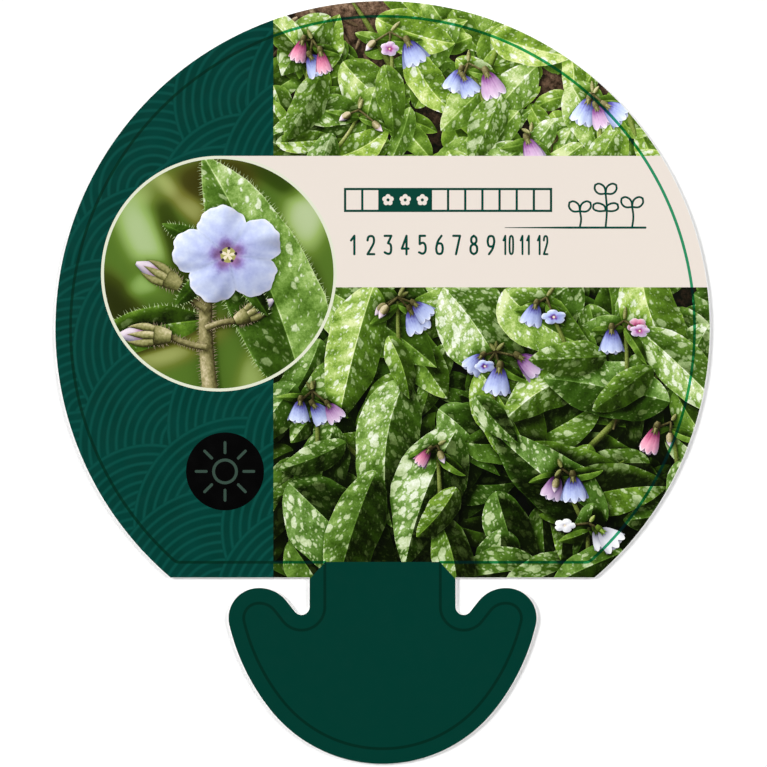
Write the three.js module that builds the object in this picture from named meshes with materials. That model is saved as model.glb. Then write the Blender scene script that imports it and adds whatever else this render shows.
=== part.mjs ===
// A label for a potted garden perennial, in millimetres: one flat sheet of printed polypropylene,
// die-cut in one stroke as a round head, a short neck and an anchor-shaped foot.
// The foot is pushed through a slot in the pot's rim and its two arms catch behind it.
// The label lies face up on Z = 0, with its head towards +Y and its foot towards -Y.
import * as THREE from "three";

// The sheet that the label is cut from
const sheetThickness = 0.5;

// Head: a disc with its lower end cut off straight. Depths here and below run down from its centre.
const headRadius = 42;
const headCutDepth = 32;

// Neck, and the small round at the inner end of the notch on each side of it
const neckHalfWidth = 9.4;
const notchRadius = 1;
const notchDepth = 35.7;

// Foot: a broad round bottom that runs up through a flatter flank into the tip of each arm
const footRadius = 18.4;
const footBottomDepth = 55.9;
const flankRadius = 27.7;
const armTipX = 15.9;
const armTipDepth = 37.15;
const armTipRadius = 3.9;
const armShoulderRadius = 4.5;
const armShoulderStart = THREE.MathUtils.degToRad(80);

// How far a straight step may lie inside the true arc
const chordError = 0.01;

// A point at the given distances from a and b, on the left of the way from a to b
function pointAtDistances(a, fromA, b, fromB) {
  const way = b.clone().sub(a);
  const apart = way.length();
  const along = (fromA ** 2 - fromB ** 2 + apart ** 2) / (2 * apart);
  const aside = Math.sqrt(fromA ** 2 - along ** 2);
  way.normalize();
  return a.clone().addScaledVector(way, along).add(new THREE.Vector2(-way.y, way.x).multiplyScalar(aside));
}

function pointOnCircle(centre, radius, angle) {
  return new THREE.Vector2(Math.cos(angle), Math.sin(angle)).multiplyScalar(radius).add(centre);
}

// The points of an arc, both ends included
function arc(centre, radius, from, to) {
  const step = 2 * Math.acos(1 - chordError / radius);
  const count = Math.ceil(Math.abs(to - from) / step);
  return Array.from({ length: count + 1 }, (_, i) =>
    pointOnCircle(centre, radius, from + ((to - from) * i) / count),
  );
}

// The right half of the outline, from the foot's lowest point round to the head's highest.
// Each arc of the foot ends where the next one touches it, so the edge has no kinks.
function rightHalf() {
  const head = new THREE.Vector2(0, 0);
  const foot = new THREE.Vector2(0, footRadius - footBottomDepth);
  const tip = new THREE.Vector2(armTipX, -armTipDepth);
  const flank = pointAtDistances(foot, flankRadius - footRadius, tip, flankRadius - armTipRadius);
  const shoulder = pointOnCircle(tip, armTipRadius - armShoulderRadius, armShoulderStart);
  const notch = new THREE.Vector2(neckHalfWidth + notchRadius, -notchDepth);

  const flankStart = foot.clone().sub(flank).angle() - 2 * Math.PI;
  const flankEnd = tip.clone().sub(flank).angle() - 2 * Math.PI;
  const across = notch.clone().sub(shoulder);
  const slope = across.angle() - Math.acos((armShoulderRadius + notchRadius) / across.length());

  return [
    ...arc(foot, footRadius, -Math.PI / 2, flankStart),
    ...arc(flank, flankRadius, flankStart, flankEnd).slice(1),
    ...arc(tip, armTipRadius, flankEnd, armShoulderStart).slice(1),
    ...arc(shoulder, armShoulderRadius, armShoulderStart, slope).slice(1),
    ...arc(notch, notchRadius, slope - Math.PI, -Math.PI),
    new THREE.Vector2(neckHalfWidth, -headCutDepth),
    ...arc(head, headRadius, -Math.asin(headCutDepth / headRadius), Math.PI / 2),
  ];
}

// The whole outline, moved so that the middle of its box is at the origin
function outline() {
  const right = rightHalf();
  const left = right
    .slice(1, -1)
    .reverse()
    .map((p) => new THREE.Vector2(-p.x, p.y));
  const middle = new THREE.Vector2(0, (footBottomDepth - headRadius) / 2);
  return [...right, ...left].map((p) => p.clone().add(middle));
}

const printedPolypropylene = new THREE.MeshStandardMaterial({
  color: "#003b30",
  roughness: 0.4,
  metalness: 0,
});

const labelSheet = new THREE.Mesh(
  new THREE.ExtrudeGeometry(new THREE.Shape(outline()), {
    depth: sheetThickness,
    bevelEnabled: false,
  }),
  printedPolypropylene,
);
labelSheet.name = "label_sheet";

const label = new THREE.Group();
label.add(labelSheet);

export default label;
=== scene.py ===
import math

import bpy
import numpy as np
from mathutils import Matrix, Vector
from mathutils.bvhtree import BVHTree
from mathutils.geometry import delaunay_2d_cdt


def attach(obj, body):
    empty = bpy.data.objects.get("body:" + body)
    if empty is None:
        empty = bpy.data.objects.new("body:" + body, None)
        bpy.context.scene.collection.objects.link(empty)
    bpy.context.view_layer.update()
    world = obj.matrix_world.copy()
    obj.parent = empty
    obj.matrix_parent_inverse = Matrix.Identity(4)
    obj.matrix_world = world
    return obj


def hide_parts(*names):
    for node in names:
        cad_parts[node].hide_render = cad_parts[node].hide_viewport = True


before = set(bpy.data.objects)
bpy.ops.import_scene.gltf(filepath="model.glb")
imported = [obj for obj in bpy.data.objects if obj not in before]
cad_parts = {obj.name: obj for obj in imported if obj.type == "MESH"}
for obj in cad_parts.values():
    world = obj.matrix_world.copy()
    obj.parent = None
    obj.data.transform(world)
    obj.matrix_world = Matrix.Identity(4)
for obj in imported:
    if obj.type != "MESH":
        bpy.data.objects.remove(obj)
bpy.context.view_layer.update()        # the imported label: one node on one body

# The blank: a sheet of white polypropylene, die-cut in one stroke as a round head, a short neck and
# a foot whose two arms catch behind the slot in a pot's rim. Sizes are in millimetres. Depths run
# down from the head's centre, which is the origin of everything that is printed.
HEAD_RADIUS, HEAD_CUT = 42.0, 32.0
NECK_HALF, NOTCH_RADIUS, NOTCH_DEPTH = 9.4, 1.0, 35.7
FOOT_RADIUS, FOOT_DEPTH, FLANK_RADIUS = 18.4, 55.9, 27.7
ARM_TIP, ARM_TIP_RADIUS = np.array([15.9, -37.15]), 3.9
ARM_SHOULDER_RADIUS, ARM_SHOULDER_START = 4.5, math.radians(80)
THICK = 0.5
EDGE_ROUND = 0.05                            # left on the sheet's corners by the cutting rule


def polar(radius, angle):
    return radius * np.array([np.cos(angle), np.sin(angle)])


def arc(centre, radius, start, end, error=0.003):
    """Points along an arc, both ends included, no step lying further than error inside it."""
    step = 2 * math.acos(1 - error / radius)
    count = max(2, math.ceil(abs(end - start) / step))
    return [np.asarray(centre) + polar(radius, a) for a in np.linspace(start, end, count + 1)]


def outline(inset, corner=0.0):
    """The blank's edge moved inwards, its two lower corners rounded if corner is more than 0."""
    foot = np.array([0, FOOT_RADIUS - FOOT_DEPTH])
    reach_foot, reach_tip = FLANK_RADIUS - FOOT_RADIUS, FLANK_RADIUS - ARM_TIP_RADIUS
    apart = ARM_TIP - foot
    length = np.hypot(*apart)
    along = (reach_foot**2 - reach_tip**2 + length**2) / (2 * length)
    aside = math.sqrt(reach_foot**2 - along**2)
    flank = foot + (apart * along + np.array([-apart[1], apart[0]]) * aside) / length
    shoulder = ARM_TIP + polar(ARM_TIP_RADIUS - ARM_SHOULDER_RADIUS, ARM_SHOULDER_START)
    notch = np.array([NECK_HALF + NOTCH_RADIUS, -NOTCH_DEPTH])
    across = notch - shoulder
    slope = math.atan2(across[1], across[0])
    slope -= math.acos((ARM_SHOULDER_RADIUS + NOTCH_RADIUS) / np.hypot(*across))
    flank_start = math.atan2(*(foot - flank)[::-1])
    flank_end = math.atan2(*(ARM_TIP - flank)[::-1])
    cut, head = HEAD_CUT - inset, HEAD_RADIUS - inset
    bend = np.array([math.sqrt((head - corner)**2 - (cut - corner)**2), corner - cut])
    turn = math.atan2(bend[1], bend[0])
    right = arc(foot, FOOT_RADIUS - inset, -math.pi / 2, flank_start)
    right += arc(flank, FLANK_RADIUS - inset, flank_start, flank_end)[1:]
    right += arc(ARM_TIP, ARM_TIP_RADIUS - inset, flank_end, ARM_SHOULDER_START)[1:]
    right += arc(shoulder, ARM_SHOULDER_RADIUS - inset, ARM_SHOULDER_START, slope)[1:]
    right += arc(notch, NOTCH_RADIUS + inset, slope - math.pi, -math.pi)
    right += [np.array([NECK_HALF - inset, -cut])]
    if corner:
        right += arc(bend, corner, -math.pi / 2, turn)
    right += arc((0, 0), head, turn, math.pi / 2)[bool(corner):]
    left = [p * (-1, 1) for p in right[-2:0:-1]]
    return np.array(right + left)


# Everything printed is a flat shape laid on the sheet in the order of printing: a shape hides the
# ones before it. paint(points) gives its inner coordinates, tone and seed where its ink needs them.
printed = []


def lay(edge, ink, within=None, paint=None):
    edge = np.asarray(edge, float)
    x, y = edge.T
    if (x * np.roll(y, -1) - y * np.roll(x, -1)).sum() < 0:
        edge = edge[::-1]
    printed.append({"edge": edge, "ink": ink, "within": within, "paint": paint})
    return len(printed) - 1


def linear(hexed):
    """A colour written as sRGB hex, in the linear values that Blender's sockets take."""
    srgb = [int(hexed[i:i + 2], 16) / 255 for i in (1, 3, 5)]
    return [c / 12.92 if c <= 0.04045 else ((c + 0.055) / 1.055)**2.4 for c in srgb] + [1.0]


def add(tree, kind, inputs=(), stops=(), **settings):
    """Adds a node to a material, with its settings, its links and plain values, and a ramp's stops."""
    made = tree.nodes.new("ShaderNode" + kind)
    for name, value in settings.items():
        setattr(made, name, value)
    for key, value in dict(inputs).items():
        if isinstance(value, bpy.types.Node):
            value = value.outputs[0]
        if isinstance(value, bpy.types.NodeSocket):
            tree.links.new(value, made.inputs[key])
        else:
            made.inputs[key].default_value = value
    for i, (place, hexed) in enumerate(stops):
        element = made.color_ramp.elements[i] if i < 2 else made.color_ramp.elements.new(place)
        element.position = place
        element.color = linear(hexed)
    return made


materials = {}


def new_tree(name, finish="_ink_under_satin_varnish"):
    materials[name] = bpy.data.materials.new(name + finish)
    materials[name].use_nodes = True
    materials[name].node_tree.nodes.clear()
    return materials[name].node_tree


# The finish of every ink is an offset print on the white sheet, with the trim line overprinted in
# green, under one coat of satin varnish. The varnish levels into a faint orange peel 1.5 mm across,
# which only shows where a lamp glances off it.
def varnished(tree, colour):
    trim = add(tree, "Attribute", attribute_name="trim")
    through = add(tree, "MixRGB", {0: 1.0, 1: colour, 2: (0.03, 0.34, 0.16, 1)}, blend_type="MULTIPLY")
    body = add(tree, "MixRGB", {0: 1.0, 1: through, 2: (0.0, 0.009, 0.009, 1)}, blend_type="ADD")
    over = add(tree, "MixRGB", {0: trim.outputs["Fac"], 1: colour, 2: body})
    where = add(tree, "TexCoord").outputs["Object"]
    peel = add(tree, "TexNoise", {"Vector": where, "Scale": 650.0})
    gloss = add(tree, "Math", {0: peel, 1: 0.08, 2: 0.2}, operation="MULTIPLY_ADD")
    bump = add(tree, "Bump", {"Height": peel, "Strength": 0.2, "Distance": 0.00001})
    shader = add(tree, "BsdfPrincipled", {
        "Base Color": over, "Roughness": gloss, "Normal": bump, "Specular IOR Level": 0.35})
    add(tree, "OutputMaterial", {"Surface": shader})


def flat_ink(name, hexed, mottle=0.03):
    """A solid area of one ink: its tone drifts a little over centimetres, as on any press."""
    tree = new_tree(name)
    where = add(tree, "TexCoord").outputs["Object"]
    drift = add(tree, "TexNoise", {"Vector": where, "Scale": 60.0, "Detail": 4.0, "Roughness": 0.7})
    value = add(tree, "Math", {0: drift, 1: 2 * mottle, 2: 1 - mottle}, operation="MULTIPLY_ADD")
    varnished(tree, add(tree, "HueSaturation", {"Color": linear(hexed), "Value": value}))


# The sheet itself shows on its back and its cut edge: extruded polypropylene, white and slightly
# see-through, with the faint lines that the rolls leave along the sheet, drawn 0.8 mm apart to show.
tree = new_tree("white", "_polypropylene_extruded")
where = add(tree, "TexCoord").outputs["Object"]
long_way = add(tree, "VectorMath", {0: where, 1: (1200.0, 40.0, 1200.0)}, operation="MULTIPLY")
roll_lines = add(tree, "TexNoise", {"Vector": long_way, "Scale": 1.0, "Detail": 3.0})
cloud = add(tree, "TexNoise", {"Vector": where, "Scale": 90.0, "Detail": 3.0})
mixed = add(tree, "Math", {0: roll_lines, 1: 0.4, 2: cloud}, operation="MULTIPLY_ADD")
white = add(tree, "ValToRGB", {0: mixed}, stops=[(0.3, "#ecedea"), (1.0, "#f7f7f4")])
gloss = add(tree, "Math", {0: roll_lines, 1: 0.15, 2: 0.32}, operation="MULTIPLY_ADD")
bump = add(tree, "Bump", {"Height": roll_lines, "Strength": 0.15, "Distance": 0.00001})
shader = add(tree, "BsdfPrincipled", {
    "Base Color": white, "Roughness": gloss, "Normal": bump, "Subsurface Weight": 0.15,
    "Subsurface Radius": (0.001, 0.001, 0.001), "Subsurface Scale": 0.5})
add(tree, "OutputMaterial", {"Surface": shader})

# The ground tint of the print, and the trim line 2 mm inside the cut edge
flat_ink("cream", "#e3d9cf", 0.015)
SHEET = lay(outline(EDGE_ROUND), "cream")
TRIM_INSET, TRIM_WIDTH = 2.0, 0.37
TRIM_OUTER = lay(outline(TRIM_INSET - TRIM_WIDTH / 2, 1.3), None)
TRIM_INNER = lay(outline(TRIM_INSET + TRIM_WIDTH / 2, 1.1), None)

# The picture: foliage with pale spots and small blue and pink flowers, over dark soil. It is a
# made-up planting, printed in halftone inks. All of it is lit from the upper left, and each shape
# throws a soft shadow on what was laid before it.
PANEL_EDGE = -14.0
BAND_BOTTOM, BAND_TOP = 5.25, 22.1
rng = np.random.default_rng(31)
LIGHT = np.array([-0.42, 0.55, 0.72])
LIGHT /= np.linalg.norm(LIGHT)
SHADOW_ROWS, SHADOW_DEPTHS = (-20, -10, 4, 24), (1.05, 0.82, 0.6, 0.42)    # shadows are deepest low down
CAST_SHARE, CLOSE_SHARE = 0.57, 0.32         # the light lost in a cast shadow, and close beside a shape
casters = []                                 # what throws a shadow, and the box that it may fall in
loose = []                                   # points that the mesh needs inside shapes


def box(left, bottom, right, top):
    return np.array([(left, bottom), (right, bottom), (right, top), (left, top)], float)


def disc(centre, radius):
    return np.array(arc(centre, radius, 0, 2 * math.pi)[:-1])


def to_steps(start, way, points):
    """From each step of a line to each point: from its start, the share along it, and the way off it."""
    rel = points[:, None] - start
    t = np.clip((rel * way).sum(-1) / (way**2).sum(-1), 0, 1)
    return rel, t, rel - t[..., None] * way


def nearest_on(spine, points):
    """How far along a spine (0 to 1) each point lies, and how far to the left of it."""
    way = spine[1:] - spine[:-1]
    rel, t, off = to_steps(spine[:-1], way, points)
    best = (off**2).sum(-1).argmin(1)
    pick = np.arange(len(points)), best
    side = way[best, 0] * rel[pick][:, 1] - way[best, 1] * rel[pick][:, 0]
    return (best + t[pick]) / len(way), np.sign(side) * np.hypot(*off[pick].T)


def depth_inside(edge, points):
    """How far inside a closed edge each point lies; negative outside it."""
    start, end = edge, np.roll(edge, -1, 0)
    way = end - start
    _, _, off = to_steps(start, way, points)
    gap = np.sqrt((off**2).sum(-1).min(1))
    x, y = points[:, 0, None], points[:, 1, None]
    crosses = (start[:, 1] > y) != (end[:, 1] > y)
    where = start[:, 0] + (y - start[:, 1]) * way[:, 0] / np.where(crosses, way[:, 1], 1)
    inside = (crosses & (x < where)).sum(1) % 2 == 1
    return np.where(inside, gap, -gap)


def cast(edge, height, within):
    """What was laid last, height mm above the rest, shades what lies below it."""
    reach = 1 + 2 * height
    bounds = (*(edge.min(0) - reach), *(edge.max(0) + reach))
    casters.append((len(printed) - 1, within, edge, height, *bounds))


def shade(points, order, within):
    """The share of light that reaches the points of one shape past all that lies over it.

    Above the band the light grows to the right and the shadows deepen to the left.
    """
    x, y = points.T
    upper = y > BAND_TOP
    lit = 1 + upper * np.clip(0.007 * (x - 8), 0, 0.15)
    depth = np.interp(y, SHADOW_ROWS, SHADOW_DEPTHS) + upper * np.clip(0.018 * (4 - x), 0, 0.32)
    low, high = points.min(0), points.max(0)
    near = (cast_boxes[:, :2] < high).all(1) & (cast_boxes[:, 2:] > low).all(1) & (cast_orders > order)
    for i in np.flatnonzero(near):
        _, clip, edge, height, *bounds = casters[i]
        inside = ((points > bounds[:2]) & (points < bounds[2:])).all(1)
        if clip != within or not inside.any():
            continue
        spot = points[inside] + LIGHT[:2] * height * 1.1
        soft = 0.12 + 0.35 * height          # mm over which the shadow's edge fades
        shadow = np.clip(0.5 + depth_inside(edge, spot) / (2 * soft), 0, 1)
        close = np.exp(np.minimum(depth_inside(edge, points[inside]), 0) / (0.4 + 0.5 * height))
        full = CAST_SHARE * depth[inside] * shadow * shadow * (3 - 2 * shadow)
        lit[inside] *= (1 - full) * (1 - CLOSE_SHARE * depth[inside] * close)
    return lit


def curve_of(base, heading, length, bend=0.0, arch=0.0, count=15, s=None):
    """A spine that leaves its base along heading, turns by bend and rises and falls by arch."""
    s = np.linspace(0, 1, count) if s is None else s
    turn = heading + bend * (s - 0.25)
    pitch = arch * (2 * s - 0.9)
    step = np.stack([np.cos(turn), np.sin(turn)], 1) * (np.cos(pitch) * length)[:, None]
    step = (step[1:] + step[:-1]) / 2 * np.diff(s)[:, None]
    return np.asarray(base) + np.concatenate([[[0, 0]], np.cumsum(step, 0)])


def lefts_of(spine):
    way = np.gradient(spine, axis=0)
    return np.stack([-way[:, 1], way[:, 0]], 1) / np.hypot(*way.T)[:, None]


def halftone(name):
    """Starts an ink that varies: its tree, and the tone and the place that paint() gave each face."""
    tree = new_tree(name)
    tone = add(tree, "Attribute", attribute_name="tone").outputs["Vector"]
    place = add(tree, "Attribute", attribute_name="place").outputs["Vector"]
    return tree, add(tree, "SeparateXYZ", {0: tone}), place


# A leaf: a long pointed blade, bent along its midrib and keeled across it, with a waved edge. It is
# two shapes, one for each half. The side to the light is bright, and the far side dull.
GLANCE = LIGHT + (0, 0, 1)                   # halfway between the light and the viewer
GLANCE /= np.linalg.norm(GLANCE)
FULL_LIGHT = 0.84                            # the tone that a leaf in strong light nears


def leaf(base, heading, length, width, bend=0.0, arch=0.6, keel=0.3, roll=0.0,
         bright=1.0, warmth=0.4, spots=0.6, height=0.8, within=None, zoom=1.0):
    """Lays a leaf and returns its two margins. zoom draws its spots and veins larger."""
    t = np.linspace(0, 1, 19)
    s = (1 - np.cos(math.pi * t)) / 2
    spine = curve_of(base, heading, length, bend, arch, s=s)
    seed = rng.random()
    blunt = rng.uniform(0.75, 1.1)
    full = s**0.62 * (1 - s)**blunt          # broad below the middle, drawn out to the tip
    full *= width / full.max()
    left = lefts_of(spine)
    margins = []
    for side in (1, -1):
        tilt = keel + side * roll
        wave = np.sin(11 * s + 6.3 * seed + side) + 0.6 * np.sin(23 * s + 17 * seed + 2 * side)
        reach_out = full * np.cos(tilt) * (1 + 0.045 * wave)
        margin = spine + left * (side * reach_out)[:, None]
        margins.append(margin)

        def paint(points, side=side, tilt=tilt, reach_out=reach_out):
            at, off = nearest_on(spine, points)
            at = np.interp(at, t, s)
            seen = np.interp(at, s, reach_out) + 1e-6
            a = np.clip(np.abs(off) / seen, 0, 1)
            lean = tilt * (1 - 1.5 * a)      # each half rises from the midrib and rolls down again
            pitch = arch * (2 * at - 0.9) + 0.3 * a * np.sin(14 * at + 3 * a + 20 * seed + side)
            turn = heading + bend * (at - 0.25)
            along = np.stack([np.cos(turn), np.sin(turn)], 1)
            aside = np.stack([-along[:, 1], along[:, 0]], 1)
            flat = -side * np.sin(lean)[:, None] * aside + np.sin(pitch)[:, None] * along
            normal = np.concatenate([flat, (np.cos(lean) * np.cos(pitch))[:, None]], 1)
            normal /= np.linalg.norm(normal, axis=1)[:, None]
            lambert = np.clip(normal @ LIGHT, 0, 1)
            gleam = np.clip(normal @ GLANCE, 0, 1)**14
            light = bright * (0.3 + 0.7 * lambert**1.2 + 0.2 * gleam)
            light = FULL_LIGHT * (1 - np.exp(-light / FULL_LIGHT))
            place = np.stack([at * length, side * a * np.interp(at, s, full), (1 - a) * seen], 1)
            return place / zoom, light, warmth, spots, seed

        lay(np.concatenate([spine, margin[-2:0:-1]]), "leaf", within, paint)
    cast(np.concatenate([margins[1], margins[0][-2:0:-1]])[::2], height, within)
    return margins


# The leaf's ink is a halftone in dull, faintly hairy greens, cool or warm, that pass into near white
# inside a spot. The spots are rounded cells in three sizes, 2.2, 1.15 and 0.55 mm apart, strewn
# along the side veins. Pleats 2.2 mm apart follow those veins, the grain of the skin is 0.3 mm, and
# the midrib and the edge are pale lines of 0.15 mm.
tree, tone, place = halftone("leaf")
seed = add(tree, "Attribute", attribute_name="seed").outputs["Fac"]
along, across, margin = add(tree, "SeparateXYZ", {0: place}).outputs
apart = add(tree, "Math", {0: across}, operation="ABSOLUTE")
forward = add(tree, "Math", {0: apart, 1: -0.6, 2: along}, operation="MULTIPLY_ADD")
shift = add(tree, "Math", {0: seed, 1: 311.0}, operation="MULTIPLY")
u = add(tree, "Math", {0: along, 1: shift}, operation="ADD")
v = add(tree, "Math", {0: shift, 1: 1.7, 2: across}, operation="MULTIPLY_ADD")
at = add(tree, "CombineXYZ", {0: u, 1: v})
drift = add(tree, "TexNoise", {"Vector": at, "Scale": 1.1, "Detail": 3.0, "Roughness": 0.6},
            noise_dimensions="2D")
drifted = add(tree, "VectorMath", {0: drift.outputs["Color"], 1: (0.6, 0.6, 0.0)}, operation="MULTIPLY")
slant = add(tree, "Math", {0: forward, 1: 0.8}, operation="MULTIPLY")
slanted = add(tree, "CombineXYZ", {0: slant, 1: v})
spotted = add(tree, "VectorMath", {0: slanted, 1: drifted}, operation="ADD")
spot = None
SPOTS = ((2.2, 0.42, 0.95), (1.15, 0.36, 0.65), (0.55, 0.32, 0.6))    # mm apart, widest, how rare
for cell, widest, rare in SPOTS:
    cells = add(tree, "TexVoronoi", {"Vector": spotted, "Scale": 1 / cell}, voronoi_dimensions="2D")
    size = add(tree, "SeparateXYZ", {0: cells.outputs["Color"]})
    chance = add(tree, "Math", {0: size, 1: tone.outputs["Z"]}, operation="ADD")
    radius = add(tree, "Math", {0: chance, 1: widest, 2: -rare * widest}, operation="MULTIPLY_ADD")
    inside = add(tree, "Math", {0: radius, 1: cells.outputs["Distance"]}, operation="SUBTRACT")
    mask = add(tree, "Math", {0: inside, 1: cell * 9.0}, operation="MULTIPLY", use_clamp=True)
    spot = add(tree, "Math", {0: mask, 1: spot or 0.0}, operation="MAXIMUM")
grain = add(tree, "TexNoise", {"Vector": at, "Scale": 3.0, "Detail": 5.0, "Roughness": 0.75},
            noise_dimensions="2D")
blotch = add(tree, "TexNoise", {"Vector": at, "Scale": 0.35}, noise_dimensions="2D")
relief = add(tree, "Math", {0: grain, 1: blotch}, operation="ADD")
relief = add(tree, "Math", {0: relief, 1: 0.95, 2: 1 - 0.95}, operation="MULTIPLY_ADD")
pleat = add(tree, "Math", {0: forward, 1: 2.9}, operation="MULTIPLY")
pleat = add(tree, "Math", {0: pleat}, operation="SINE")
rib = add(tree, "Math", {0: apart, 1: -8.0, 2: 1.2}, operation="MULTIPLY_ADD", use_clamp=True)
edge = add(tree, "Math", {0: margin, 1: -7.0, 2: 1.0}, operation="MULTIPLY_ADD", use_clamp=True)
for form, share in ((pleat, 0.1), (rib, 0.34), (edge, 0.2)):
    relief = add(tree, "Math", {0: form, 1: share, 2: relief}, operation="MULTIPLY_ADD")
light = add(tree, "Math", {0: relief, 1: tone}, operation="MULTIPLY")
cool = add(tree, "ValToRGB", {0: light}, stops=[
    (0.0, "#010200"), (1.0, "#d5e2b8"), (0.12, "#081200"), (0.28, "#29460a"), (0.45, "#446720"),
    (0.62, "#668a3e"), (0.8, "#96b66c")])
warm = add(tree, "ValToRGB", {0: light}, stops=[
    (0.0, "#020300"), (1.0, "#e4eea2"), (0.12, "#0e1702"), (0.28, "#38530c"), (0.45, "#5d8020"),
    (0.62, "#86a838"), (0.8, "#b0cb5e")])
green = add(tree, "MixRGB", {0: tone.outputs["Y"], 1: cool, 2: warm})
pale = add(tree, "ValToRGB", {0: light}, stops=[
    (0.0, "#030502"), (1.0, "#fbfcf2"), (0.12, "#1c2808"), (0.25, "#5a7038"), (0.4, "#94ab70"),
    (0.6, "#c6d5a6"), (0.8, "#e6eed6")])
varnished(tree, add(tree, "MixRGB", {0: spot, 1: green, 2: pale}))

# A stalk, a bud or a calyx: round, so its tone falls off to both sides, and hairy. A stalk keeps its
# width, and a bud or a calyx swells in the middle.
MERGE = 1e-4                                 # mm: points nearer than this are one point


def swell(widest, start, end, count):
    """Half widths that swell and narrow again, as a sine does from start to end."""
    return widest * np.sin(np.linspace(start, end, count))


def strip(spine, half, ink, bright=1.0, tint=0.0, second=0.0, lean=1.0, height=0.3, within=None,
          unit=1.0, start=0.0):
    """A rounded strip on a spine, half mm wide to each side of it."""
    t = np.linspace(0, 1, len(spine))
    half = np.broadcast_to(half, t.shape)
    left = lefts_of(spine)
    seed = rng.random()
    length = np.hypot(*np.diff(spine, axis=0).T).sum()
    edge = np.concatenate([spine + left * half[:, None], (spine - left * half[:, None])[::-1]])
    edge = edge[np.hypot(*(edge - np.roll(edge, 1, 0)).T) > MERGE]

    def paint(points):
        at, off = nearest_on(spine, points)
        wide = np.interp(at, t, half) + 1e-6
        a = np.clip(off / wide, -1, 1)
        aside = np.stack([np.interp(at, t, left[:, 0]), np.interp(at, t, left[:, 1])], 1)
        normal = np.concatenate([aside * np.sin(lean * a)[:, None], np.cos(lean * a)[:, None]], 1)
        light = bright * (0.2 + 0.8 * np.clip(normal @ LIGHT, 0, 1))
        place = np.stack([at * length + start * unit, off, wide * (1 - np.abs(a))], 1) / unit
        return place, light, tint, second, seed

    lay(edge, ink, within, paint)
    loose.extend(spine[1:-1])
    cast(edge, height, within)


# The ink of stalks is a halftone of green or brown, by age, mottled every 0.2 mm by fine hairs
tree, tone, place = halftone("stalk")
hair = add(tree, "TexNoise", {"Vector": place, "Scale": 6.0, "Detail": 3.0})
light = add(tree, "Math", {0: hair, 1: 0.5, 2: -0.25}, operation="MULTIPLY_ADD")
light = add(tree, "Math", {0: light, 1: tone}, operation="ADD")
green = add(tree, "ValToRGB", {0: light}, stops=[
    (0.0, "#0a0f04"), (1.0, "#d3dc90"), (0.3, "#36480e"), (0.55, "#6c8a2c"), (0.8, "#a3ba58")])
brown = add(tree, "ValToRGB", {0: light}, stops=[
    (0.0, "#0d0805"), (1.0, "#dcc8ac"), (0.3, "#35271a"), (0.55, "#63523a"), (0.8, "#9c8a6a")])
varnished(tree, add(tree, "MixRGB", {0: tone.outputs["Y"], 1: green, 2: brown}))


# A flower: five petals joined in a funnel, blue, pink or white, which nods from a hairy calyx. Its
# sizes are shares of its own length or width.
def bell(at, heading, size, hue, white=0.0, bright=1.0, within=None):
    """A nodding flower from the side: the far lobes, the bell with its near lobes, and the calyx."""
    at = np.asarray(at, float)
    ahead, aside = polar(size, heading), polar(size, heading + math.pi / 2)
    seed = rng.random()
    for near in (False, True):
        across = np.linspace(-1, 1, 33)
        depths = np.linspace(0.0, 0.75, 8)
        wide = rng.uniform(1.05, 1.35) - 0.3 * hue

        def flare(depth):
            return wide * (0.1 + 0.38 * np.clip(depth, 0, 1)**0.65)

        def rim(across, near=near):
            turn = 1.5 * math.pi * across
            lobes = np.abs(np.cos(turn) if near else np.sin(turn))**0.55
            return 0.78 + 0.22 * lobes - 0.13 * across**2 + 0.03 * np.sin(9 * across + 20 * seed)

        edge = at + np.outer(rim(across), ahead) + np.outer(across * flare(rim(across)), aside)
        right = at + np.outer(depths, ahead) - np.outer(flare(depths), aside)
        left = at + np.outer(depths, ahead) + np.outer(flare(depths), aside)

        def paint(points, near=near, flare=flare, rim=rim):
            rel = points - at
            depth, off = rel @ ahead / size**2, rel @ aside / size**2
            w = np.clip(off / flare(depth), -1, 1)
            fold = np.abs(np.abs(w) - 1 / 3 if near else w) * flare(depth)
            lean = 0.9 * w + 0.3 * np.sin(3 * math.pi * w) * depth * (1 if near else -1)
            normal = np.c_[np.outer(np.sin(lean), aside / size), np.cos(lean)]
            light = bright * (0.3 + 0.62 * np.clip(normal @ LIGHT, 0, 1)) * (1.0 if near else 0.62)
            out = depth * 0.82 + (0.04 if near else -0.06)
            return np.stack([out, fold, 1.6 * (rim(w) - depth)], 1), light, hue, white, seed

        whole = np.concatenate([right, edge, left[::-1]])
        lay(whole, "petal", within, paint)
    cast(whole, 0.25, within)
    cup = np.linspace(at - polar(size * 0.24, heading), at + polar(size * 0.16, heading), 8)
    strip(cup, swell(size * 0.13, 0.6, 2.6, 8), "stalk", bright * 0.9, 0.8 - white,
          height=0.1, within=within)
    for turn in (-0.45, 0.45, 0.0):
        tooth = curve_of(at, heading + turn, size * 0.28, count=6)
        strip(tooth, swell(size * 0.06, 1.4, 3.1, 6), "stalk", bright * 0.8, 0.7 - white,
              height=0.1, within=within)


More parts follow.
